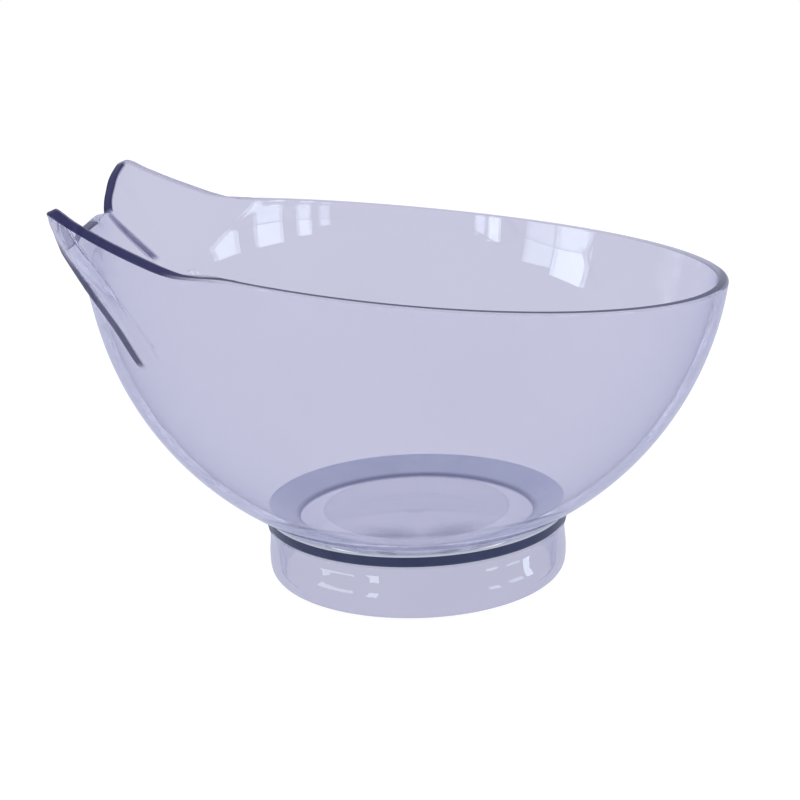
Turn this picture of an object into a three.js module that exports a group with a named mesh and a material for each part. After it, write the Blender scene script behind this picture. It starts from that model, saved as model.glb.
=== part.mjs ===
import * as THREE from 'three';

// Hair colour bowl: a tinted clear bowl whose rim rises into two ear-shaped peaks.
// Millimetres, +Z up. The notch between the two peaks faces -X, and the standing face is z = 0.

// Spherical wall
const OUTER_R = 65;
const WALL = 2.15;
const CENTRE_Z = 70.84;

// Rim: a plane cut, higher on the notch side than on the far side
const RIM_TILT = 6.43;
const RIM_OFFSET = -1.0;

// Bottom of the bowl: shallow dish inside, flat underside
const FLOOR_R = 25.5;
const FLOOR_DIP = 2.35;
const UNDERSIDE_Z = 8.8;

// The two peaks, in degrees round the bowl from the notch's middle and degrees above the centre
const NOTCH_HALF = 21.0;
const NOTCH_CORNER_ELEV = 3.2;
const PEAK_END = 60;
const PEAK_END_ELEV = 2.35;
const PEAK_FOOT_ELEV = -13.5;
const PEAK_FOOT_HALF = 35.8;
const PEAK_FOOT_WIDTH = 7;
const PEAK_TIP_ELEV = 10.0;

// Raised bead down each side of the notch
const BEAD_HEIGHT = 0.7;
const BEAD_TOP_HALF = 0.75;
const BEAD_FOOT_HALF = 1.15;
const BEAD_END_ELEV = -13.3;
const BEAD_END_SPAN = 1;
const BEAD_SLANT = 1.15;
const BEAD_TAPER_SPAN = 5;
const BEAD_TOP_SHARE = 0.3;

// Columns of the wall's mesh: 0 at the notch's middle, 180 opposite it. One column follows the
// bead and one follows the crease where the peak leaves the sphere.
const COLUMN_BEAD = 24;
const COLUMN_CREASE = 58;
const BEAD_ZONE = 3;
const EASE_SPAN = 26;
const NOTCH_COLUMNS = [0, 5.5, 11, 16.5, 21];
const PEAK_COLUMN_STEP = 2.25;
const BOWL_COLUMN_STEPS = 23;

// Rows of the same mesh, in degrees above the centre
const LOWER_ROWS = [-60, -54, -48, -42, -36, -30];
const UPPER_ROWS = [-24, -19.5, -15.8, -14.3, -13.3, -11.8, -9, -6, -3, 0, NOTCH_CORNER_ELEV];
const LOWEST_OUTER_ROW = -66;
const SLOPE_STEP = 0.4;

// Foot ring and the seam ring between it and the bowl
const JOINT_GAP = 0.3;
const FOOT_OUTER_R = 32.05;
const FOOT_INNER_R = 29.4;
const SEAM_INNER_R = 25.5;
const SEAM_OUTER_R = 32.4;
const SEAM_BOTTOM_Z = 11.5;
const SEAM_SLOPE = 0.23;
const FOOT_SEGMENTS = 72;

// Sets the origin under the middle of the overall width
const AXIS_X = 0.735;

// Outline of a peak, from its outer end (0) over the tip to the notch (1): degrees above the centre
const PEAK_OUTLINE = [
  [0, PEAK_END_ELEV], [0.14, 2.75], [0.21, 3.1], [0.27, 3.75], [0.4, 5.85], [0.53, 8.2], [0.6, 9.5],
  [0.67, PEAK_TIP_ELEV], [0.74, 9.5], [0.83, 8.1], [0.91, 6.2], [0.96, 4.8], [1, NOTCH_CORNER_ELEV],
];

// How far a peak stands out of the sphere at tip height, across the same width: millimetres
const PEAK_FLARE = [
  [0, 0], [0.07, 1.6], [0.14, 4.4], [0.2, 6.8], [0.27, 8.4], [0.4, 10.6], [0.53, 12.6],
  [0.6, 13.6], [0.67, 13.3], [0.74, 12.0], [0.83, 10.9], [0.91, 10.0], [1, 9.8],
];

// Share of that reached between a peak's foot (0) and tip height (1)
const FLARE_GROWTH = [[0, 0], [0.25, 0.06], [0.5, 0.27], [0.7, 0.53], [0.85, 0.78], [1, 1]];

const rad = THREE.MathUtils.degToRad;
const deg = THREE.MathUtils.radToDeg;
const lerp = THREE.MathUtils.lerp;
const clamp = THREE.MathUtils.clamp;

// Smooth curve through [x, y] points
function through(points, x) {
  const last = points.length - 1;
  const t = clamp(x, points[0][0], points[last][0]);
  let i = 0;
  while (i < last - 1 && t > points[i + 1][0]) i += 1;
  const slope = (k) => {
    const a = points[Math.max(k - 1, 0)];
    const b = points[Math.min(k + 1, last)];
    return (b[1] - a[1]) / (b[0] - a[0]);
  };
  const [x0, y0] = points[i];
  const [x1, y1] = points[i + 1];
  const width = x1 - x0;
  const u = (t - x0) / width;
  const h00 = (1 + 2 * u) * (1 - u) * (1 - u);
  const h10 = u * (1 - u) * (1 - u);
  const h01 = u * u * (3 - 2 * u);
  const h11 = u * u * (u - 1);
  return h00 * y0 + h10 * width * slope(i) + h01 * y1 + h11 * width * slope(i + 1);
}

// Piecewise straight map through [x, y] points
function along(points, x) {
  let i = 0;
  while (i < points.length - 2 && x > points[i + 1][0]) i += 1;
  const [x0, y0] = points[i];
  const [x1, y1] = points[i + 1];
  return lerp(y0, y1, (x - x0) / (x1 - x0));
}

// Below the peaks' feet the columns run back to an even spacing
function easeBelowPeak(elev) {
  return clamp((PEAK_FOOT_ELEV - elev) / EASE_SPAN, 0, 1);
}

// Azimuth of the bead beside the notch, at one elevation
function notchEdge(elev) {
  const down = clamp((NOTCH_CORNER_ELEV - elev) / (NOTCH_CORNER_ELEV - PEAK_FOOT_ELEV), 0, 1);
  const run = BEAD_SLANT * down + (1 - BEAD_SLANT) * down * down;
  const azimuth = NOTCH_HALF + (PEAK_FOOT_HALF - NOTCH_HALF) * run;
  return lerp(azimuth, COLUMN_BEAD, easeBelowPeak(elev));
}

// Azimuth of the crease where a peak leaves the sphere
function peakRoot(elev) {
  const down = clamp((PEAK_END_ELEV - elev) / (PEAK_END_ELEV - PEAK_FOOT_ELEV), 0, 1);
  const azimuth = Math.max(lerp(PEAK_END, PEAK_FOOT_HALF, down), notchEdge(elev) + PEAK_FOOT_WIDTH);
  return lerp(azimuth, COLUMN_CREASE, easeBelowPeak(elev));
}

// Azimuth of a column, at one elevation
function azimuthOf(column, elev) {
  const edge = notchEdge(elev);
  return along([
    [0, 0],
    [COLUMN_BEAD - BEAD_ZONE, edge - BEAD_ZONE],
    [COLUMN_BEAD + BEAD_ZONE, edge + BEAD_ZONE],
    [COLUMN_CREASE, peakRoot(elev)],
    [180, 180],
  ], column);
}

// Elevation at which the tilted rim plane cuts the sphere
function rimElevation(azimuth) {
  const a = Math.cos(rad(RIM_TILT));
  const b = Math.sin(rad(RIM_TILT)) * Math.cos(rad(azimuth));
  return deg(Math.atan2(b, a) + Math.asin(RIM_OFFSET / OUTER_R / Math.hypot(a, b)));
}

function topElevation(column) {
  if (column <= COLUMN_BEAD) {
    return lerp(rimElevation(0), NOTCH_CORNER_ELEV, (column / COLUMN_BEAD) ** 2);
  }
  if (column < COLUMN_CREASE) {
    return through(PEAK_OUTLINE, (COLUMN_CREASE - column) / (COLUMN_CREASE - COLUMN_BEAD));
  }
  return rimElevation(along([[COLUMN_CREASE, PEAK_END], [180, 180]], column));
}

// How far the wall stands out of the sphere
function flare(azimuth, elev) {
  const height = (elev - PEAK_FOOT_ELEV) / (PEAK_TIP_ELEV - PEAK_FOOT_ELEV);
  if (height <= 0) return 0;
  const edge = notchEdge(elev);
  const root = peakRoot(elev);
  const growth = through(FLARE_GROWTH, height);
  if (azimuth <= edge) return through(PEAK_FLARE, 1) * growth * (azimuth / edge) ** 2;
  return through(PEAK_FLARE, (root - azimuth) / (root - edge)) * growth;
}

function onRay(azimuth, elev, distance) {
  const flat = distance * Math.cos(rad(elev));
  return new THREE.Vector3(
    -flat * Math.cos(rad(azimuth)),
    flat * Math.sin(rad(azimuth)),
    CENTRE_Z + distance * Math.sin(rad(elev)),
  );
}

function wallPoint(column, elev) {
  const azimuth = azimuthOf(column, elev);
  return onRay(azimuth, elev, OUTER_R + flare(azimuth, elev));
}

// Outward normal of the wall, from its slope over a small step
function wallNormal(column, elev) {
  const low = Math.max(column - SLOPE_STEP, 0);
  const high = Math.min(column + SLOPE_STEP, 180);
  const across = wallPoint(high, elev).sub(wallPoint(low, elev));
  if (low === 0) across.set(0, 1, 0);
  if (high === 180) across.set(0, -1, 0);
  const up = wallPoint(column, elev + SLOPE_STEP).sub(wallPoint(column, elev - SLOPE_STEP));
  return up.cross(across).normalize();
}

function beadRise(column, elev) {
  const off = Math.abs(column - COLUMN_BEAD);
  const across = clamp((BEAD_FOOT_HALF - off) / (BEAD_FOOT_HALF - BEAD_TOP_HALF), 0, 1);
  const end = clamp((elev - BEAD_END_ELEV) / BEAD_END_SPAN + 1, 0, 1);
  const taper = clamp((NOTCH_CORNER_ELEV - elev) / BEAD_TAPER_SPAN, 0, 1);
  return BEAD_HEIGHT * across * end * lerp(BEAD_TOP_SHARE, 1, taper);
}

// The columns of one side
function columnList() {
  const list = [...NOTCH_COLUMNS];
  for (const off of [-BEAD_FOOT_HALF, -BEAD_TOP_HALF, BEAD_TOP_HALF, BEAD_FOOT_HALF]) {
    list.push(COLUMN_BEAD + off);
  }
  for (let c = COLUMN_BEAD + BEAD_ZONE; c < COLUMN_CREASE; c += PEAK_COLUMN_STEP) list.push(c);
  for (let k = 0; k <= BOWL_COLUMN_STEPS; k += 1) {
    list.push(lerp(COLUMN_CREASE, 180, k / BOWL_COLUMN_STEPS));
  }
  return list;
}

// Elevations of the upper rows at one column, the last one at the top edge
function upperRows(column) {
  const low = UPPER_ROWS[0];
  const stretch = (topElevation(column) - low) / (NOTCH_CORNER_ELEV - low);
  return UPPER_ROWS.map((e) => low + (e - low) * stretch);
}

// Closed section of the shell at one column, from the underside's middle round to the floor's middle
function shellSection(column) {
  const section = [];
  const azimuth = azimuthOf(column, -90);
  const flat = (r, z) => new THREE.Vector3(-r * Math.cos(rad(azimuth)), r * Math.sin(rad(azimuth)), z);
  const undersideElev = -deg(Math.asin((CENTRE_Z - UNDERSIDE_Z) / OUTER_R));
  const innerR = OUTER_R - WALL;
  const floorElev = -deg(Math.acos(FLOOR_R / innerR));
  section.push(onRay(azimuth, undersideElev, OUTER_R));
  for (const e of [LOWEST_OUTER_ROW, ...LOWER_ROWS]) section.push(wallPoint(column, e));
  for (const e of upperRows(column)) {
    const normal = wallNormal(column, e);
    section.push(wallPoint(column, e).addScaledVector(normal, beadRise(column, e)));
  }
  const inside = [floorElev, ...LOWER_ROWS, ...upperRows(column)];
  inside.reverse();
  for (const e of inside) {
    section.push(wallPoint(column, e).addScaledVector(wallNormal(column, e), -WALL));
  }
  const edgeZ = CENTRE_Z + innerR * Math.sin(rad(floorElev));
  for (const f of [2 / 3, 1 / 3]) {
    section.push(flat(FLOOR_R * f, edgeZ - FLOOR_DIP * (1 - f * f)));
  }
  return section;
}

function bowlShell() {
  const half = columnList();
  const sections = half.map(shellSection);
  for (let i = half.length - 2; i > 0; i -= 1) {
    sections.push(sections[i].map((p) => new THREE.Vector3(p.x, -p.y, p.z)));
  }
  const rows = sections[0].length;
  const columns = sections.length;
  const positions = [];
  for (const section of sections) for (const p of section) positions.push(p.x, p.y, p.z);
  const below = rows * columns;
  const floor = below + 1;
  const floorZ = CENTRE_Z - Math.sqrt((OUTER_R - WALL) ** 2 - FLOOR_R ** 2) - FLOOR_DIP;
  positions.push(0, 0, UNDERSIDE_Z, 0, 0, floorZ);
  const index = [];
  for (let j = 0; j < columns; j += 1) {
    const a = j * rows;
    const b = ((j + 1) % columns) * rows;
    index.push(below, a, b);
    for (let i = 0; i < rows - 1; i += 1) {
      index.push(a + i, a + i + 1, b + i);
      index.push(b + i, a + i + 1, b + i + 1);
    }
    index.push(floor, b + rows - 1, a + rows - 1);
  }
  const geometry = new THREE.BufferGeometry();
  geometry.setAttribute('position', new THREE.Float32BufferAttribute(positions, 3));
  geometry.setIndex(index);
  geometry.computeVertexNormals();
  return geometry;
}

// Solid of revolution about Z from a closed list of [radius, height] points
function turned(profile) {
  const points = profile.map(([r, z]) => new THREE.Vector2(r, z));
  points.push(points[0].clone());
  const geometry = new THREE.LatheGeometry(points, FOOT_SEGMENTS);
  geometry.rotateX(Math.PI / 2);
  return geometry;
}

function seamBottom(r) {
  return SEAM_BOTTOM_Z - (SEAM_OUTER_R - r) * SEAM_SLOPE;
}

function seamTop(r) {
  return CENTRE_Z - Math.sqrt((OUTER_R + JOINT_GAP) ** 2 - r * r);
}

function seamRing() {
  const edge = SEAM_OUTER_R - 0.3;
  const inner = [edge, 30.4, 28.7, 27.1, SEAM_INNER_R];
  return turned([
    [SEAM_INNER_R, seamBottom(SEAM_INNER_R)],
    [edge, seamBottom(edge)],
    [SEAM_OUTER_R, SEAM_BOTTOM_Z + 0.25],
    [SEAM_OUTER_R, SEAM_BOTTOM_Z + 1.4],
    ...inner.map((r) => [r, seamTop(r)]),
  ]);
}

// Standing ring with a slight waist below its top
function footRing() {
  const top = (r) => seamBottom(r) - JOINT_GAP - 0.02;
  return turned([
    [FOOT_INNER_R - 0.5, 0],
    [FOOT_OUTER_R - 1.55, 0],
    [FOOT_OUTER_R - 0.75, 0.35],
    [FOOT_OUTER_R - 0.2, 1.2],
    [FOOT_OUTER_R, 2.6],
    [FOOT_OUTER_R, 4.8],
    [FOOT_OUTER_R - 0.25, 7.4],
    [FOOT_OUTER_R - 0.3, 9.2],
    [FOOT_OUTER_R - 0.05, 10.4],
    [FOOT_OUTER_R + 0.25, top(FOOT_OUTER_R + 0.25)],
    [FOOT_INNER_R - 0.5, top(FOOT_INNER_R - 0.5)],
    [FOOT_INNER_R - 0.3, 9.6],
    [FOOT_INNER_R, 8.6],
    [FOOT_INNER_R - 0.2, 1.0],
    [FOOT_INNER_R - 0.5, 0.4],
  ]);
}

function piece(name, geometry, color, roughness, opacity) {
  const material = new THREE.MeshStandardMaterial({
    color,
    roughness,
    metalness: 0,
    transparent: opacity < 1,
    opacity,
  });
  const mesh = new THREE.Mesh(geometry, material);
  mesh.name = name;
  return mesh;
}

const bowl = new THREE.Group();
bowl.name = 'hair_color_bowl';
bowl.add(piece('bowl_shell', bowlShell(), 0xc6c9dc, 0.06, 0.45));
bowl.add(piece('seam_ring', seamRing(), 0x2b3058, 0.2, 1));
bowl.add(piece('foot_ring', footRing(), 0xb9bcd6, 0.08, 0.45));
bowl.position.x = AXIS_X;

export default bowl;
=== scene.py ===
import math

import bpy
import numpy as np
from mathutils import Matrix, Vector


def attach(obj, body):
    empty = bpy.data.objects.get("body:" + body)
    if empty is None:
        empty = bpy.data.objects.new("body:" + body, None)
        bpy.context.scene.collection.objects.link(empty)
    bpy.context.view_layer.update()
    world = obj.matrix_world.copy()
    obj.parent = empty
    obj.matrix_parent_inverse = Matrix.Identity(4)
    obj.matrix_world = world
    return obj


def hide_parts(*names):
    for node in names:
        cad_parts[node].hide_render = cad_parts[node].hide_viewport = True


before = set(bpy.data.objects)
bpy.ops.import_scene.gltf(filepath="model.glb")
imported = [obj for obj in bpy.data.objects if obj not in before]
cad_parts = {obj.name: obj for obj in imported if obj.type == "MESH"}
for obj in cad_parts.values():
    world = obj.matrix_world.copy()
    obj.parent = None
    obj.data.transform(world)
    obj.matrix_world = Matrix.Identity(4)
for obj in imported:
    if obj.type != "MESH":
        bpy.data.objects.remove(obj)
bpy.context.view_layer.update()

# Hair colour bowl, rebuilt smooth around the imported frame. The shape's numbers are in millimetres
# and degrees, and are turned to metres when a mesh is made. A place on the wall is given as seen
# from the middle of its sphere: azimuth is 0 at the notch's middle (-X) and 180 opposite it, and
# elevation is 0 level with the sphere's middle.
MM = 0.001

OUTER_R = 65.0
WALL = 2.15
INNER_R = OUTER_R - WALL
CENTRE_Z = 70.84
AXIS_X = 0.735
RIM_TILT = 6.43
RIM_OFFSET = -1.0
EDGE_ROUND = 0.42
UNDERSIDE_Z = 8.8
UNDER_ELEV = -math.degrees(math.asin((CENTRE_Z - UNDERSIDE_Z) / OUTER_R))

# The dished floor inside, with a small nub in its middle
FLOOR_R = 25.5
FLOOR_DIP = 2.35
FLOOR_ELEV = -math.degrees(math.acos(FLOOR_R / INNER_R))
FLOOR_EDGE_Z = CENTRE_Z + INNER_R * math.sin(math.radians(FLOOR_ELEV))
FLOOR_SHARES = (0.985, 0.96, 0.92, 0.87, 0.82, 0.8, 0.78, 0.76, 0.74, 0.72, 0.68, 0.63, 0.58, 0.53,
                0.48, 0.43, 0.38, 0.28, 0.18, 0.1, 0.05)
NUB_HEIGHT = 0.25
NUB_SHARE = 0.09

# The notch, the two peaks and the beads that run down from the notch's corners
NOTCH_HALF = 21.0
NOTCH_CORNER_ELEV = 3.2
PEAK_END = 60.0
PEAK_END_ELEV = 2.35
PEAK_FOOT_ELEV = -13.5
PEAK_FOOT_HALF = 35.8
PEAK_FOOT_WIDTH = 7.0
PEAK_TIP_ELEV = 10.0
PEAK_TIP_SHARE = 0.67
BEAD_HEIGHT = 0.45
BEAD_HALF = 1.5
BEAD_END_ELEV = -13.3
BEAD_SLANT = 1.15
BEAD_TAPER_SPAN = 5.0
BEAD_TOP_SHARE = 0.3
# Elevation of a peak's top edge, from its end on the rim (0) to the notch's corner (1)
PEAK_OUTLINE = [
    (0, PEAK_END_ELEV), (0.14, 2.75), (0.21, 3.1), (0.27, 3.75), (0.4, 5.85), (0.53, 8.2),
    (0.6, 9.5), (PEAK_TIP_SHARE, PEAK_TIP_ELEV), (0.74, 9.5), (0.83, 8.1), (0.91, 6.2),
    (0.96, 4.8), (1, NOTCH_CORNER_ELEV),
]
# How far a peak stands out from the sphere at its tip's height, from its root (0) to the bead (1)
PEAK_FLARE = [
    (0, 0), (0.05, 0.45), (0.1, 2.1), (0.14, 4.1), (0.2, 6.8), (0.27, 8.4), (0.4, 10.6),
    (0.53, 12.6), (0.6, 13.6), (0.67, 13.3), (0.74, 12.0), (0.83, 10.9), (0.91, 10.0), (1, 9.8),
]
# The share of that reached on the way up, from a peak's foot (0) to its tip's height (1), and the
# slope it goes on with above the tip
FLARE_GROWTH = [(0, 0), (0.25, 0.06), (0.5, 0.27), (0.7, 0.53), (0.85, 0.78), (1, 1)]
FLARE_GROWTH_ON = 1.45

# The mesh's columns. They lean with the bead and with the peak's root, which stay on one column
# each, and straighten over EASE_SPAN below the peak's foot.
COLUMN_BEAD = 24.0
COLUMN_CREASE = 58.0
COLUMN_LAST = 180.0
COLUMN_SPANS = [(0, 22, 22), (22, 26, 32), (26, 52, 34), (52, 59, 18), (59, COLUMN_LAST, 86)]
BEAD_ZONE = 3.0
EASE_SPAN = 26.0

# A section's rows, in the order in which they follow one another. The wall's rows are closer
# together above LOW_ELEV.
UNDERSIDE_ROWS = 9
OUTER_LOW_ROWS = 36
UPPER_ROWS = 61
CORNER_ROWS = 6
RIM_SHARES = (0.08, 0.3, 0.5, 0.7, 0.92)
INNER_LOW_ROWS = 32
LOW_ELEV = -24.0
RIM_ROW = UNDERSIDE_ROWS + OUTER_LOW_ROWS + UPPER_ROWS + CORNER_ROWS + len(RIM_SHARES) // 2

# Folds that run down the wall are rounded over these widths, in columns. The RIM_KEPT rows on each
# side of the rim's middle keep their line, and the change fades in over the next FADE_ROWS.
CREASE_SOFT = 0.8
BEAD_SOFT = 2.2
LEAST_SOFT = 0.1
FOLD_SPREAD = 4.0
RIM_KEPT = 8
FADE_ROWS = 8

# Painted shade on the plastic, from 0 to 1, on the side in shade (-Y) and on the lit side (+Y). It
# stands in for the dark that clear plastic shows along its edges and folds, where light is bent and
# caught inside the wall. Sets of three are for an edge's outer corner, its face and its inner
# corner.
RIM_PAINTED_SHADE = {"shade": (0.12, 0.95, 0.95), "lit": (0.1, 0.1, 0.1)}
RIM_END_PAINTED_SHADE = (0.3, 0.6, 0.6)
RIM_END_SPAN = {"shade": 25.0, "lit": 38.0}
PEAK_PAINTED_SHADE = {"shade": (1.0, 1.0, 0.8), "lit": (0.15, 0.3, 0.1)}
FLANK_PAINTED_SHADE = {"shade": (1.0, 0.45, 0.1), "lit": (1.0, 1.0, 1.0)}
# Below a flank's edge, both faces of the wall carry painted shade over a band this wide
HEM_PAINTED_SHADE = {"shade": 0.0, "lit": 1.0}
FLANK_BAND = 0.9
# The band of painted shade along a bead: its half width at the foot and at the corner, how many
# times narrower it is on the notch's side, and the elevation at which it ends
BEAD_PAINTED_SHADE = 0.9
BEAD_SHADE_HALF = {"shade": (1.7, 4.0), "lit": (1.5, 1.5)}
BEAD_NOTCH_SIDE = 10.0
BEAD_SHADE_DOWN_TO = {"shade": -14.3, "lit": -7.0}
# Painted shade on the floor's middle, on the faint ring round it, and in a soft bow of two spots on
# the side in shade, standing in for the dark that bent light shows there
FLOOR_PAINTED_SHADE = 0.2
DISH_SHARE = 0.76
DISH_FADE = 0.04
RING_SHARE = 0.78
RING_HALF = 0.015
BOW_OUT, BOW_WIDTH = 6.0, 6.0
BOW_NEAR, BOW_DEPTH = 16.5, 4.5
BOW_BEND = 0.2
BOW_PAINTED_SHADE = 0.5


def through(points, x):
    """Smooth curve through (x, y) points."""
    px = np.array([p[0] for p in points], float)
    py = np.array([p[1] for p in points], float)
    last = len(px) - 1
    k = np.arange(last + 1)
    lo, hi = np.maximum(k - 1, 0), np.minimum(k + 1, last)
    slope = (py[hi] - py[lo]) / (px[hi] - px[lo])
    t = np.clip(x, px[0], px[-1])
    i = np.clip(np.searchsorted(px, t, side="left") - 1, 0, last - 1)
    width = px[i + 1] - px[i]
    u = (t - px[i]) / width
    return ((1 + 2 * u) * (1 - u) ** 2 * py[i] + u * (1 - u) ** 2 * width * slope[i]
            + u * u * (3 - 2 * u) * py[i + 1] + u * u * (u - 1) * width * slope[i + 1])


def ease_below_peak(elev):
    return np.clip((PEAK_FOOT_ELEV - elev) / EASE_SPAN, 0, 1)


def notch_edge(elev):
    """Azimuth of the bead at an elevation."""
    down = np.clip((NOTCH_CORNER_ELEV - elev) / (NOTCH_CORNER_ELEV - PEAK_FOOT_ELEV), 0, 1)
    run = BEAD_SLANT * down + (1 - BEAD_SLANT) * down * down
    azimuth = NOTCH_HALF + (PEAK_FOOT_HALF - NOTCH_HALF) * run
    return azimuth + (COLUMN_BEAD - azimuth) * ease_below_peak(elev)


def peak_root(elev):
    """Azimuth at which the peak leaves the sphere at an elevation."""
    down = np.clip((PEAK_END_ELEV - elev) / (PEAK_END_ELEV - PEAK_FOOT_ELEV), 0, 1)
    azimuth = np.maximum(PEAK_END + (PEAK_FOOT_HALF - PEAK_END) * down,
                         notch_edge(elev) + PEAK_FOOT_WIDTH)
    return azimuth + (COLUMN_CREASE - azimuth) * ease_below_peak(elev)


def azimuth_of(column, elev):
    edge = notch_edge(elev)
    root = peak_root(elev)
    before, after = COLUMN_BEAD - BEAD_ZONE, COLUMN_BEAD + BEAD_ZONE
    notch = column / before * (edge - BEAD_ZONE)
    bead = edge + column - COLUMN_BEAD
    peak = (edge + BEAD_ZONE
            + (column - after) / (COLUMN_CREASE - after) * (root - edge - BEAD_ZONE))
    rest = root + (column - COLUMN_CREASE) / (COLUMN_LAST - COLUMN_CREASE) * (180 - root)
    return np.where(column < before, notch,
                    np.where(column < after, bead, np.where(column < COLUMN_CREASE, peak, rest)))


def rim_elevation(azimuth):
    """Elevation at which the tilted plane of the rim cuts the sphere."""
    a = math.cos(math.radians(RIM_TILT))
    b = math.sin(math.radians(RIM_TILT)) * np.cos(np.radians(azimuth))
    return np.degrees(np.arctan2(b, a) + np.arcsin(RIM_OFFSET / OUTER_R / np.hypot(a, b)))


def top_elevation(column):
    middle = rim_elevation(0.0)
    notch = middle + (NOTCH_CORNER_ELEV - middle) * (column / COLUMN_BEAD) ** 2
    peak = through(PEAK_OUTLINE, (COLUMN_CREASE - column) / (COLUMN_CREASE - COLUMN_BEAD))
    along = (column - COLUMN_CREASE) / (COLUMN_LAST - COLUMN_CREASE)
    rim = rim_elevation(PEAK_END + along * (180 - PEAK_END))
    return np.where(column <= COLUMN_BEAD, notch, np.where(column < COLUMN_CREASE, peak, rim))


def flare(azimuth, elev):
    """How far the wall stands out from the sphere, on the peaks and in the notch between them."""
    height = np.maximum((elev - PEAK_FOOT_ELEV) / (PEAK_TIP_ELEV - PEAK_FOOT_ELEV), 0)
    edge = notch_edge(elev)
    root = peak_root(elev)
    growth = through(FLARE_GROWTH, height) + np.maximum(height - 1, 0) * FLARE_GROWTH_ON
    notch = through(PEAK_FLARE, 1.0) * (azimuth / edge) ** 2
    peak = through(PEAK_FLARE, (root - azimuth) / (root - edge))
    return np.where(azimuth <= edge, notch, peak) * growth


def on_ray(azimuth, elev, distance):
    a, e = np.radians(azimuth), np.radians(elev)
    flat = distance * np.cos(e)
    return np.stack([-flat * np.cos(a), flat * np.sin(a), CENTRE_Z + distance * np.sin(e)], -1)


def wall_point(column, elev):
    azimuth = azimuth_of(column, elev)
    return on_ray(azimuth, elev, OUTER_R + flare(azimuth, elev))


def wall_axes(column, elev):
    """Outward normal and upward tangent of the wall."""
    step = 0.3
    low, high = np.maximum(column - step, 0), np.minimum(column + step, COLUMN_LAST)
    across = wall_point(high, elev) - wall_point(low, elev)
    across = np.where((low <= 0)[..., None], np.array([0.0, 1.0, 0.0]), across)
    across = np.where((high >= COLUMN_LAST)[..., None], np.array([0.0, -1.0, 0.0]), across)
    up = wall_point(column, elev + step) - wall_point(column, elev - step)
    normal = np.cross(up, across)
    normal /= np.linalg.norm(normal, axis=-1, keepdims=True)
    up /= np.linalg.norm(up, axis=-1, keepdims=True)
    return normal, up


def bead_rise(column, elev):
    off = np.abs(column - COLUMN_BEAD) / BEAD_HALF
    across = np.clip(1 - off ** 2, 0, 1) ** 1.5
    end = np.clip((elev - BEAD_END_ELEV) + 1, 0, 1)
    taper = np.clip((NOTCH_CORNER_ELEV - elev) / BEAD_TAPER_SPAN, 0, 1)
    return BEAD_HEIGHT * across * np.sqrt(end) * (BEAD_TOP_SHARE + (1 - BEAD_TOP_SHARE) * taper)


def column_values():
    """The columns of one side, 0 at the notch's middle and 180 opposite it."""
    values = [np.linspace(a, b, n, endpoint=False) for a, b, n in COLUMN_SPANS]
    return np.append(np.concatenate(values), COLUMN_LAST)


def flank_share(column):
    """1 along a peak's flank, from the notch's corner up to the tip, and 0 elsewhere."""
    tip = COLUMN_CREASE - PEAK_TIP_SHARE * (COLUMN_CREASE - COLUMN_BEAD)
    return float(np.clip(min(column - COLUMN_BEAD + 1, tip - column) / 1.5, 0, 1))


def peak_share(column):
    """1 along the whole of a peak's top edge, and 0 elsewhere."""
    rise, fall = (column - COLUMN_BEAD) / 3 + 1, (COLUMN_CREASE - 1 - column) / 7
    return float(np.clip(min(rise, fall), 0, 1))


def edge_painted_shade(column, side):
    """Painted shade on the rounded edge: its outer corner, its face and its inner corner."""
    at_end = float(np.clip(1 - (COLUMN_LAST - column) / RIM_END_SPAN[side], 0, 1))
    rim, peak = np.array(RIM_PAINTED_SHADE[side]), np.array(PEAK_PAINTED_SHADE[side])
    rim = rim + (np.array(RIM_END_PAINTED_SHADE) - rim) * at_end
    peak = peak + (np.array(FLANK_PAINTED_SHADE[side]) - peak) * flank_share(column)
    return rim + (peak - rim) * peak_share(column)


def hem_painted_shade(column, below, side):
    """Painted shade on the wall at some distances below a flank's edge."""
    return flank_share(column) * np.clip(2 - 2 * below / FLANK_BAND, 0, 1) * HEM_PAINTED_SHADE[side]


# Painted shade in a band along a bead, standing in for the dark that its fold shows in the clear
# wall
def bead_painted_shade(column, rows, side):
    past = column - COLUMN_BEAD
    beyond = past if past > 0 else -past * BEAD_NOTCH_SIDE
    foot_half, corner_half = BEAD_SHADE_HALF[side]
    risen = np.clip((rows - PEAK_FOOT_ELEV) / (NOTCH_CORNER_ELEV - PEAK_FOOT_ELEV), 0, 1)
    band = np.clip(foot_half + (corner_half - foot_half) * risen + 0.5 - beyond, 0, 1)
    return band * np.clip(rows - BEAD_SHADE_DOWN_TO[side], 0, 1) * BEAD_PAINTED_SHADE


# Painted shade on the floor: the dish's middle, the ring round it and the bow
def floor_painted_shade(x, y, share, side):
    dish = FLOOR_PAINTED_SHADE * float(np.clip((DISH_SHARE - share) / DISH_FADE + 1, 0, 1))
    ring = FLOOR_PAINTED_SHADE * float(abs(share - RING_SHARE) < RING_HALF)
    bow = 0.0
    if side == "shade":
        across = (abs(x) - BOW_OUT) / BOW_WIDTH
        along = (y - BOW_NEAR + BOW_BEND * abs(x)) / BOW_DEPTH
        bow = BOW_PAINTED_SHADE * math.exp(-across ** 2 - along ** 2)
    return min(dish + ring + bow, 1.0)


def rounded_edge(column, high):
    """The rows over the wall's top edge, as its outer corner, its face and its inner corner."""
    column, high = np.array([float(column)]), np.array([high])
    normal, up = (axis[0] for axis in wall_axes(column, high))
    top = wall_point(column, high)[0] - up * EDGE_ROUND
    outer = top + normal * (float(bead_rise(column, high)[0]) - EDGE_ROUND)
    inner = top - normal * (WALL - EDGE_ROUND)
    turn = np.radians(np.linspace(12, 90, CORNER_ROWS))[:, None]
    sideways, upwards = EDGE_ROUND * normal * np.cos(turn), EDGE_ROUND * up * np.sin(turn)
    face = outer + (inner - outer) * np.array(RIM_SHARES)[:, None] + up * EDGE_ROUND
    return outer + sideways + upwards, face, (inner - sideways + upwards)[::-1]


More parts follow.
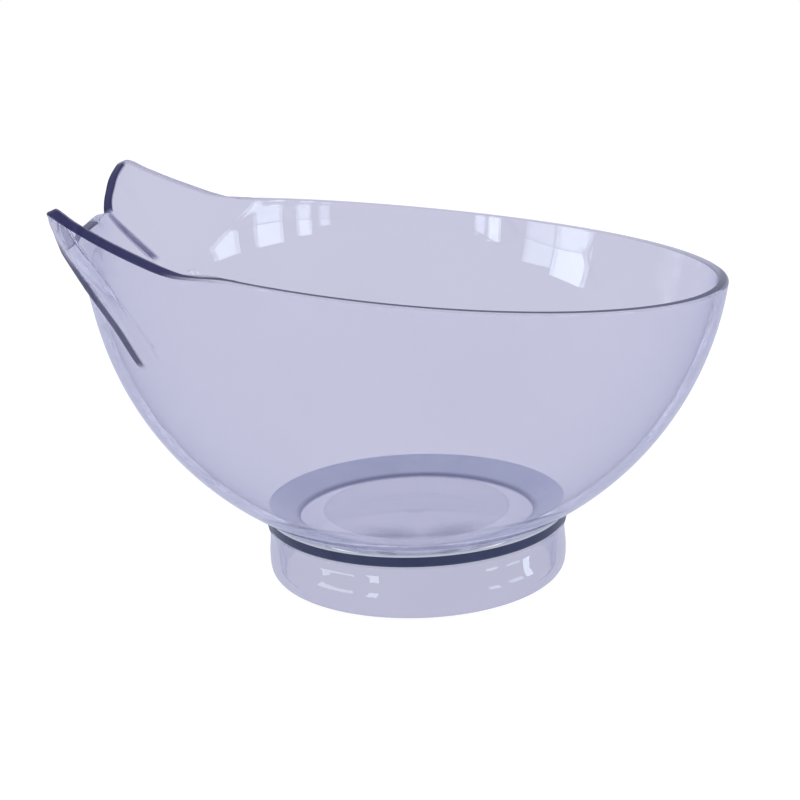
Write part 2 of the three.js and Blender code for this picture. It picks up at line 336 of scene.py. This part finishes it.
def shell_section(column, side):
    """One column's closed section, from the underside's middle round to the floor's middle.
    Returns its points and the painted shade on the plastic at each."""
    azimuth = math.radians(azimuth_of(column, -90.0))
    outwards = np.array([-math.cos(azimuth), math.sin(azimuth), 0])
    points, darkness = [], []

    def add(rows, dark):
        points.append(rows)
        darkness.append(np.broadcast_to(dark, len(rows)))

    # the underside, the wall's two faces and the floor each start or end a little short of the
    # corners between them, which takes the sharpness off
    under_r = OUTER_R * math.cos(math.radians(UNDER_ELEV)) - 0.3
    radii = np.linspace(1.5, under_r, UNDERSIDE_ROWS)[:, None]
    add(outwards * radii + np.array([0, 0, UNDERSIDE_Z]), 0.0)

    # the wall's rows stop short of the top, where the rounded edge begins
    high = float(top_elevation(column))
    per_degree = np.linalg.norm(wall_point(column, high) - wall_point(column, high - 1.0))
    stop = high - EDGE_ROUND / per_degree
    upper = LOW_ELEV + (stop - LOW_ELEV) * np.linspace(0, 1, UPPER_ROWS + 1)[1:]

    rows = np.concatenate([np.linspace(UNDER_ELEV + 0.35, LOW_ELEV, OUTER_LOW_ROWS), upper])
    columns = np.full_like(rows, float(column))
    normal, _ = wall_axes(columns, rows)
    hem = hem_painted_shade(column, (high - rows) * per_degree, side)
    add(wall_point(columns, rows) + normal * bead_rise(columns, rows)[:, None],
        np.maximum(bead_painted_shade(column, rows, side), hem))

    for part, dark in zip(rounded_edge(column, high), edge_painted_shade(column, side)):
        add(part, dark)

    rows = np.concatenate([np.linspace(FLOOR_ELEV + 0.4, LOW_ELEV, INNER_LOW_ROWS), upper])[::-1]
    columns = np.full_like(rows, float(column))
    normal, _ = wall_axes(columns, rows)
    add(wall_point(columns, rows) - normal * WALL,
        hem_painted_shade(column, (high - rows) * per_degree, side))

    for share in FLOOR_SHARES:
        nub = NUB_HEIGHT if share < NUB_SHARE else 0.0
        z = FLOOR_EDGE_Z - FLOOR_DIP * (1 - share * share) + nub
        point = outwards * (FLOOR_R * share) + np.array([0, 0, z])
        add([point], floor_painted_shade(point[0], point[1], share, side))
    return np.concatenate(points), np.concatenate(darkness)


def soften(columns, points):
    """Rounds the folds that run down the wall: the peaks' creases on both faces, and the notch's
    edges on the inner face. points is columns x rows x 3."""
    spacing = np.gradient(columns)
    numbers = np.arange(points.shape[1])
    inner = numbers >= RIM_ROW
    out = points.copy()
    for i, column in enumerate(columns):
        at_crease = CREASE_SOFT * math.exp(-((column - COLUMN_CREASE) / FOLD_SPREAD) ** 2)
        at_bead = BEAD_SOFT * math.exp(-((column - COLUMN_BEAD) / FOLD_SPREAD) ** 2)
        for rows, width in ((~inner, at_crease), (inner, at_crease + at_bead)):
            if width < LEAST_SOFT:
                continue
            weights = spacing * np.exp(-((columns - column) / width) ** 2 / 2)
            out[i, rows] = np.tensordot(weights / weights.sum(), points[:, rows], 1)
    fade = np.clip((np.abs(numbers - RIM_ROW) - RIM_KEPT) / FADE_ROWS, 0, 1)[None, :, None]
    return points + (out - points) * fade


def grid_mesh(name, sections, darkness, poles=(), pole_darkness=()):
    """A closed mesh from a ring of sections. Each section runs from the bottom pole to the top
    pole, or closes on itself when there are no poles."""
    columns, rows = len(sections), len(sections[0])
    starts = [(j * rows, (j + 1) % columns * rows) for j in range(columns)]
    faces = []
    for a, b in starts:
        for i in range(rows - 1):
            faces.append((a + i, a + i + 1, b + i + 1, b + i))
        if not poles:
            faces.append((a + rows - 1, a, b, b + rows - 1))
    if poles:
        bottom, top = columns * rows, columns * rows + 1
        for a, b in starts:
            faces.append((bottom, a, b))
            faces.append((top, b + rows - 1, a + rows - 1))
    verts = np.concatenate([*sections, *([pole] for pole in poles)])
    verts = (verts + np.array([AXIS_X, 0, 0])) * MM
    mesh = bpy.data.meshes.new(name)
    mesh.from_pydata([tuple(v) for v in verts], [], faces)
    mesh.validate()
    # the edge attribute holds the painted shade of the clear plastic, or a ring's navy marking
    attribute = mesh.attributes.new("edge", "FLOAT", "POINT")
    values = np.concatenate([*darkness, pole_darkness])
    attribute.data.foreach_set("value", values.astype(np.float32))
    mesh.shade_smooth()
    mesh.update()
    ob = bpy.data.objects.new(name, mesh)
    bpy.context.scene.collection.objects.link(ob)
    return ob


def make_shell():
    half = column_values()
    made = {side: [shell_section(c, side) for c in half] for side in ("shade", "lit")}
    points = soften(half, np.array([section for section, _ in made["lit"]]))
    # the lit side is at +Y, as the columns are made, and the side in shade is its mirror image
    lit, shade = range(len(half)), range(len(half) - 2, 0, -1)
    mirror = np.array([1, -1, 1])
    sections = [points[i] for i in lit] + [points[i] * mirror for i in shade]
    darkness = [made["lit"][i][1] for i in lit] + [made["shade"][i][1] for i in shade]
    poles = [(0, 0, UNDERSIDE_Z), (0, 0, FLOOR_EDGE_Z - FLOOR_DIP + NUB_HEIGHT)]
    return grid_mesh("bowl_body", sections, darkness, poles, (0.0, FLOOR_PAINTED_SHADE))


# Seam ring and foot ring, turned from closed profiles of (radius, height) points
RING_SEGMENTS = 288
POINTS_PER_CORNER = 5
JOINT_GAP = 0.3
SEAM_INNER_R = 25.5
SEAM_OUTER_R = 32.4
SEAM_BOTTOM_Z = 11.5
SEAM_SLOPE = 0.23
SEAM_BAND_TOP = 13.6
SEAM_CORNER = 0.15
NAVY_DEPTH = 0.35
NAVY_LINE = 0.2
FOOT_OUTER_R = 32.05
FOOT_INNER_R = 29.4
FOOT_CORNER = 0.6


def round_corners(points, radius):
    """Rounds each corner of a closed profile with a small arc."""
    out = []
    pts = [np.array(p, float) for p in points]
    for i, corner in enumerate(pts):
        back, on = pts[i - 1] - corner, pts[(i + 1) % len(pts)] - corner
        back_length, on_length = np.linalg.norm(back), np.linalg.norm(on)
        r = min(radius, 0.45 * back_length, 0.45 * on_length)
        a, b = corner + back / back_length * r, corner + on / on_length * r
        for s in np.linspace(0, 1, POINTS_PER_CORNER):
            out.append((1 - s) ** 2 * a + 2 * s * (1 - s) * corner + s * s * b)
    return out


def turned(name, points, radius, is_dark):
    """A turned ring. Its surface is dark where is_dark(r, z)."""
    profile = round_corners(points, radius)
    dark = np.array([float(is_dark(r, z)) for r, z in profile])
    sections = []
    for k in range(RING_SEGMENTS):
        a = 2 * math.pi * k / RING_SEGMENTS
        sections.append(np.array([(-r * math.cos(a), r * math.sin(a), z) for r, z in profile]))
    return grid_mesh(name, sections, [dark] * RING_SEGMENTS)


def seam_bottom(r):
    return SEAM_BOTTOM_Z - (SEAM_OUTER_R - r) * SEAM_SLOPE


def seam_top(r):
    return CENTRE_Z - math.sqrt((OUTER_R + JOINT_GAP) ** 2 - r * r)


def make_seam_ring():
    """Navy on its outer face, with a thin navy line along its inner top corner."""
    edge = SEAM_OUTER_R - 0.3
    points = [(SEAM_INNER_R, seam_bottom(SEAM_INNER_R)), (edge, seam_bottom(edge)),
              (SEAM_OUTER_R, SEAM_BOTTOM_Z + 0.25), (SEAM_OUTER_R, SEAM_BAND_TOP),
              (SEAM_OUTER_R, SEAM_BAND_TOP + 0.12)]
    points += [(r, seam_top(r)) for r in (edge, 30.9, 29.6, 28.2, 26.9, SEAM_INNER_R)]

    def navy(r, z):
        face = r > SEAM_OUTER_R - NAVY_DEPTH and z < SEAM_BAND_TOP
        line = r < SEAM_INNER_R + NAVY_LINE and z > seam_top(SEAM_INNER_R) - NAVY_DEPTH
        return face or line
    return turned("seam_band", points, SEAM_CORNER, navy)


def make_foot_ring():
    def top(r):
        return r, seam_bottom(r) - JOINT_GAP - 0.02
    outer_face = [(-1.55, 0.0), (-0.75, 0.35), (-0.2, 1.2), (0.0, 2.6), (0.0, 4.8), (-0.25, 7.4),
                  (-0.3, 9.2), (-0.05, 10.4)]
    inner_face = [(-0.3, 9.6), (0.0, 8.6), (-0.2, 1.0), (-0.5, 0.4), (-0.5, 0.0)]
    points = [(FOOT_OUTER_R + out, z) for out, z in outer_face]
    points += [top(FOOT_OUTER_R + 0.25), top(FOOT_INNER_R - 0.5)]
    points += [(FOOT_INNER_R + out, z) for out, z in inner_face]
    return turned("foot_body", points[-1:] + points[:-1], FOOT_CORNER, lambda r, z: False)


# Materials. The thin walls hardly bend what is seen through them, so the plastic's bending is low
# under a full gloss. HAZE is the share of blue light it scatters at its nearest surface.
BENDING = 1.03
GLOSS = 1.49
HAZE = 0.12
HAZE_COLOUR = (0.45, 0.45, 1.0)
# Where the clear plastic carries painted shade, it turns this much solid, loses this much of its
# gloss and takes this dark navy colour
PAINTED_SHADE_SOLID = 0.9
PAINTED_SHADE_DULL = 0.7
PAINTED_SHADE_COLOUR = (0.03, 0.031, 0.10)
BOWL_TINT, BOWL_DEEP = (0.63, 0.63, 0.735), (0.965, 0.965, 0.98)
FOOT_TINT, FOOT_DEEP = (0.52, 0.525, 0.62), (0.96, 0.96, 0.98)
TINT_DRIFT = 0.965
POLISH = (0.0, 0.035)
RIPPLE = {"Strength": 0.05, "Distance": 0.0004}
NAVY = ((0.018, 0.028, 0.085), (0.028, 0.040, 0.105))
MILKY = ((0.49, 0.52, 0.61), (0.56, 0.59, 0.67))
SEAM_ROUGH = (0.16, 0.3)
# Painted light: the milky part of the seam ring glows with this, standing in for light that reaches
# it through the bowl
SEAM_PAINTED_LIGHT = (0.125, 0.135, 0.14)


class Nodes:
    """Short calls for building the node tree of a material or a world."""

    def __init__(self, owner):
        self.owner = owner
        owner.use_nodes = True
        self.tree = owner.node_tree
        self.tree.nodes.clear()

    def add(self, kind, inputs=None, **settings):
        """Adds a node. Each input is given, by its name or its number, as a number, a colour or
        the output that it is linked to."""
        node = self.tree.nodes.new(kind)
        for key, value in settings.items():
            setattr(node, key, value)
        for key, value in (inputs or {}).items():
            if isinstance(value, (int, float)):
                node.inputs[key].default_value = value
            elif isinstance(value, tuple):
                node.inputs[key].default_value = (*value, 1.0)
            else:
                self.tree.links.new(value, node.inputs[key])
        return node

    def math(self, operation, a, b):
        return self.add("ShaderNodeMath", {0: a, 1: b}, operation=operation).outputs[0]

    def mix(self, factor, a, b):
        return self.add("ShaderNodeMix", {0: factor, 6: a, 7: b}, data_type="RGBA").outputs[2]

    def blend(self, factor, a, b):
        """Mixes two shaders."""
        inputs = {0: factor, 1: a.outputs[0], 2: b.outputs[0]}
        return self.add("ShaderNodeMixShader", inputs).outputs[0]

    def noise(self, scale, detail):
        place = self.add("ShaderNodeTexCoord").outputs["Object"]
        inputs = {"Vector": place, "Scale": scale, "Detail": detail}
        return self.add("ShaderNodeTexNoise", inputs).outputs[0]

    def ramp(self, value, start, end, low=0.0, high=1.0):
        inputs = {"Value": value, "From Min": start, "From Max": end, "To Min": low, "To Max": high}
        return self.add("ShaderNodeMapRange", inputs).outputs[0]

    def grain(self, scale, detail, low=0.0, high=1.0):
        """Noise spread over the range from low to high."""
        return self.ramp(self.noise(scale, detail), 0.3, 0.7, low, high)

    def path(self, name):
        return self.add("ShaderNodeLightPath").outputs[name]

    def mirrored(self):
        """1 when the light has been mirrored on its way, and 0 when it hasn't."""
        return self.math("MINIMUM", self.path("Glossy Depth"), 1.0)

    # The edge attribute: painted shade on the clear plastic, and the navy marking on the seam ring
    def darkness(self):
        return self.add("ShaderNodeAttribute", attribute_name="edge").outputs["Fac"]

    def finish(self, surface, kind="ShaderNodeOutputMaterial"):
        self.add(kind, {"Surface": surface})
        return self.owner


def clear_plastic(name, tint, deep):
    """Polished clear plastic. The nearest wall carries the tint. Walls seen through it, or met
    after a reflection, are almost clear, as the colour of one moulding doesn't double where two
    walls overlap."""
    m = Nodes(bpy.data.materials.new(name))
    # Painted shade: where the edge attribute is set, the plastic turns a solid, dull navy
    dark = m.darkness()
    crossed = m.path("Transmission Depth")
    passed = m.math("ADD", crossed, m.math("MULTIPLY", m.path("Glossy Depth"), 2.0))
    near = m.math("LESS_THAN", passed, 1.5)
    body = m.mix(m.grain(28.0, 3.0), tint, tuple(c * TINT_DRIFT for c in tint))
    polish = m.grain(90.0, 4.0, *POLISH)
    bump = m.add("ShaderNodeBump", {"Height": m.noise(55.0, 2.0), **RIPPLE})
    plastic = m.add("ShaderNodeBsdfPrincipled", {
        "Base Color": m.mix(dark, m.mix(near, deep, body), PAINTED_SHADE_COLOUR),
        "Transmission Weight": m.math("SUBTRACT", 1.0, m.math("MULTIPLY", dark, PAINTED_SHADE_SOLID)),
        "Coat Weight": m.math("SUBTRACT", 1.0, m.math("MULTIPLY", dark, PAINTED_SHADE_DULL)),
        "IOR": BENDING,
        "Coat IOR": GLOSS,
        "Roughness": polish,
        "Coat Roughness": polish,
        "Normal": bump.outputs[0],
    })
    haze = m.add("ShaderNodeBsdfDiffuse", {"Color": HAZE_COLOUR})
    first = m.math("LESS_THAN", crossed, 0.5)
    hazy = m.math("MULTIPLY", first, m.math("SUBTRACT", 1.0, dark))
    return m.finish(m.blend(m.math("MULTIPLY", hazy, HAZE), plastic, haze))


def seam_plastic():
    """Navy where the ring is marked dark, and elsewhere a milky blue with painted light, where the
    bowl rests.
    """
    m = Nodes(bpy.data.materials.new("seam_plastic_look"))
    dark = m.darkness()
    grain = m.grain(160.0, 3.0)
    plastic = m.add("ShaderNodeBsdfPrincipled", {
        "Base Color": m.mix(dark, m.mix(grain, *MILKY), m.mix(grain, *NAVY)),
        "Roughness": m.grain(120.0, 3.0, *SEAM_ROUGH),
        "Emission Color": SEAM_PAINTED_LIGHT,
        "Emission Strength": m.math("SUBTRACT", 1.0, dark),
    })
    return m.finish(plastic.outputs[0])


shell = make_shell()
seam = make_seam_ring()
foot = make_foot_ring()
shell.data.materials.append(clear_plastic("bowl_plastic_look", BOWL_TINT, BOWL_DEEP))
foot.data.materials.append(clear_plastic("foot_plastic_look", FOOT_TINT, FOOT_DEEP))
seam.data.materials.append(seam_plastic())
for piece, node, slot in ((shell, "bowl_shell", "bowl_plastic"), (seam, "seam_ring", "seam_plastic"),
                          (foot, "foot_ring", "foot_plastic")):
    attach(piece, "root")
    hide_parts(node)

# Camera, placed in metres
CAMERA_PLACE = Vector((-0.0131625, -0.2851798, 0.1153522))
FORWARD = Vector((0.03750526, 0.96314263, -0.2663637))
RIGHT = Vector((0.99826276, -0.04823166, -0.03384042))
UP = Vector((0.04544031, 0.26463177, 0.96327836))
camera_data = bpy.data.cameras.new("camera")
camera_data.lens = 62.89
camera_data.sensor_width = 36.0
camera_data.clip_start = 0.01
camera = bpy.data.objects.new("camera", camera_data)
bpy.context.scene.collection.objects.link(camera)
axes = Matrix((RIGHT, UP, -FORWARD)).transposed()
camera.matrix_world = Matrix.Translation(CAMERA_PLACE) @ axes.to_4x4()
bpy.context.scene.camera = camera

# Stage: a pale floor, soft light from all round and two rows of windows. MIRRORED is what the
# plastic mirrors of the room apart from the windows, and ZENITH is the room's light overhead.
WHITE = (1.0, 1.0, 1.0)
MIRRORED = (0.56, 0.575, 0.69)
ZENITH = (0.85, 0.86, 0.93)
ZENITH_START, ZENITH_FULL = 0.35, 0.75
FLOOR_GLOW = 0.93
FLOOR_COLOUR = (0.16, 0.16, 0.16)

# Windows: middle azimuth, width, bottom and top elevation as seen from the bowl, and brightness
WINDOWS = [
    (-5.0, 12.5, -2.5, 6.5, 4.2),
    (-27.7, 12.8, -8.3, 6.6, 4.6),
    (-45.0, 6.0, -7.2, 5.4, 4.6),
    (-54.6, 4.4, -6.2, 2.4, 3.2),
    (-126.2, 4.4, 1.0, 9.0, 4.5),
    (-132.8, 5.2, 1.3, 11.5, 7.0),
    (-155.8, 14.0, 2.2, 18.0, 3.4),
    (-172.8, 17.0, 2.4, 20.5, 5.4),
]
WINDOW_FAR = 0.24
WINDOW_EYE = Vector((0.0, 0.0, 0.062))
LIGHT_COLOUR = (0.80, 0.93, 1.0)

# Glints on the foot: middle x and y, length and breadth in millimetres, the length's direction,
# and brightness
GLINTS = [
    (-34.4, -32.9, 17.0, 5.0, -50.0, 4.0),
    (-21.0, -43.5, 4.5, 9.0, -27.0, 6.0),
    (26.5, -38.1, 5.0, 6.0, 40.0, 4.5),
    (34.4, -30.7, 7.0, 5.0, 59.0, 3.5),
    (40.0, -25.0, 4.0, 8.0, 70.0, 6.0),
]
GLINT_HEIGHT = 0.0006


def stage_floor():
    bpy.ops.mesh.primitive_circle_add(vertices=96, radius=3.0, fill_type="NGON",
                                      location=(0, 0, -0.0002))
    floor = bpy.context.object
    floor.name = "floor"
    m = Nodes(bpy.data.materials.new("floor_look"))
    glow = m.add("ShaderNodeEmission", {"Color": WHITE, "Strength": FLOOR_GLOW})
    lit = m.add("ShaderNodeBsdfDiffuse", {"Color": FLOOR_COLOUR})
    seen = m.add("ShaderNodeAddShader", {0: glow.outputs[0], 1: lit.outputs[0]})
    other = m.add("ShaderNodeEmission", {"Color": m.mix(m.mirrored(), WHITE, MIRRORED)})
    floor.data.materials.append(m.finish(m.blend(m.path("Is Camera Ray"), other, seen)))


def studio_world():
    w = Nodes(bpy.data.worlds.new("studio"))
    bpy.context.scene.world = w.owner
    direction = w.add("ShaderNodeTexCoord").outputs["Generated"]
    height = w.add("ShaderNodeSeparateXYZ", {0: direction}).outputs["Z"]
    sky = w.mix(w.ramp(height, ZENITH_START, ZENITH_FULL), WHITE, ZENITH)
    light = w.mix(w.path("Is Camera Ray"), w.mix(w.mirrored(), sky, MIRRORED), WHITE)
    background = w.add("ShaderNodeBackground", {0: light})
    w.finish(background.outputs[0], "ShaderNodeOutputWorld")


def area_light(name, size_x, size_y, power, seen_by):
    """A flat light that only the pieces in seen_by mirror."""
    data = bpy.data.lights.new(name, "AREA")
    data.shape = "RECTANGLE"
    data.size = size_x
    data.size_y = size_y
    data.energy = power * size_x * size_y * math.pi
    data.color = LIGHT_COLOUR
    light = bpy.data.objects.new(name, data)
    bpy.context.scene.collection.objects.link(light)
    light.visible_camera = False
    light.visible_diffuse = False
    light.light_linking.receiver_collection = seen_by
    return light


def mirror_group(piece):
    group = bpy.data.collections.new(piece.name + "_mirrors")
    group.objects.link(piece)
    return group


def window_lights():
    mirrors = mirror_group(shell)
    for k, (azimuth, width, low, high, power) in enumerate(WINDOWS):
        a, e = math.radians(azimuth), math.radians((low + high) / 2)
        way = Vector((math.cos(a) * math.cos(e), math.sin(a) * math.cos(e), math.sin(e)))
        size_x, size_y = (2 * WINDOW_FAR * math.tan(math.radians(angle / 2))
                          for angle in (width, high - low))
        light = area_light("window_%d" % k, size_x, size_y, power, mirrors)
        light.location = WINDOW_EYE + way * WINDOW_FAR
        light.rotation_euler = (-way).to_track_quat("-Z", "Y").to_euler()


def foot_glints():
    mirrors = mirror_group(foot)
    for k, (x, y, length, breadth, turn, power) in enumerate(GLINTS):
        light = area_light("glint_%d" % k, length * MM, breadth * MM, power, mirrors)
        light.location = ((x + AXIS_X) * MM, y * MM, GLINT_HEIGHT)
        light.rotation_euler = (math.pi, 0, math.radians(turn))
        light.visible_transmission = False


stage_floor()
studio_world()
window_lights()
foot_glints()
bpy.context.scene.view_settings.view_transform = "Standard"
